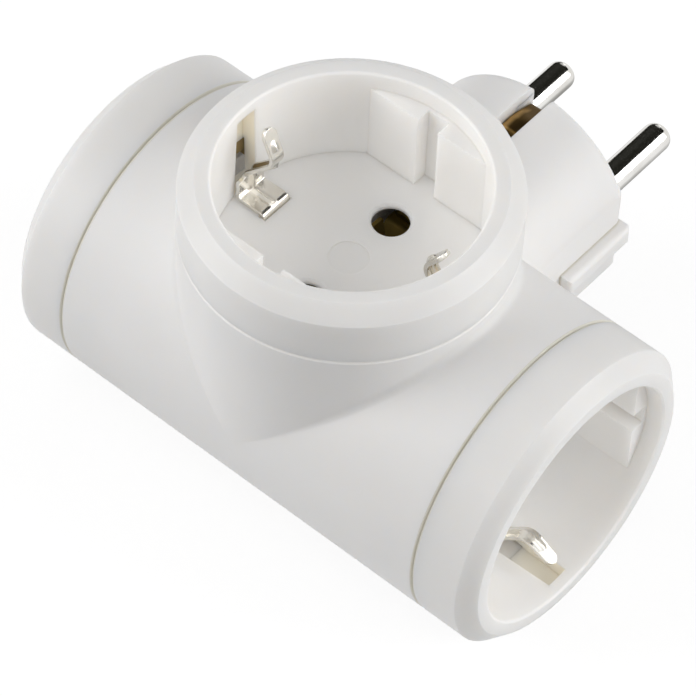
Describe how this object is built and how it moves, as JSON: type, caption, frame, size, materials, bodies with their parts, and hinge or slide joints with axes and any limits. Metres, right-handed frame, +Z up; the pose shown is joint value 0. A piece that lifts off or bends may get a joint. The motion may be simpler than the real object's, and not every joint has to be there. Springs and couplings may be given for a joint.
{
  "type": "multi socket adapter",
  "caption": "White plug adapter shaped as crossing tubes: a two-pin earthed plug at the back, and round recessed sockets in the ends of the tube and on top.",
  "frame": {"origin": "middle of the plug's face, between the roots of the pins", "axes": "+Y out of the plug's face along the pins, +Z up towards the top socket, +X along the tube that holds the end sockets"},
  "size_m": [0.0888, 0.0895, 0.0628],
  "materials": {
    "white_plastic": "satin moulded plastic, off-white",
    "insert_plastic": "satin moulded plastic, slightly warmer off-white",
    "carrier_plastic": "matt moulded plastic, grey",
    "pin_nickel": "polished nickel plating on brass",
    "spring_nickel": "bright nickel-plated spring sheet",
    "strap_brass": "plain brass sheet, slightly dull",
    "bar_brass": "plain brass sheet",
    "rivet_brass": "brass rivet"
  },
  "bodies": {
    "root": {"contact_carrier": "carrier_plastic", "earth_bar": "bar_brass", "earth_rivets": "rivet_brass", "left_earth_bracket": "spring_nickel", "left_socket_insert": "insert_plastic", "live_bar": "bar_brass", "live_contact_left": "bar_brass", "live_contact_right": "bar_brass", "live_contact_top": "bar_brass", "live_link": "bar_brass", "live_pin": "pin_nickel", "live_rivets": "rivet_brass", "main_housing": "white_plastic", "neutral_bar": "bar_brass", "neutral_contact_left": "bar_brass", "neutral_contact_right": "bar_brass", "neutral_contact_top": "bar_brass", "neutral_link": "bar_brass", "neutral_pin": "pin_nickel", "neutral_rivets": "rivet_brass", "plug_earth_strap": "strap_brass", "plug_face_plate": "white_plastic", "right_earth_bracket": "spring_nickel", "right_socket_insert": "insert_plastic", "top_earth_bracket": "spring_nickel", "top_socket_insert": "insert_plastic"}
  },
  "joints": []
}
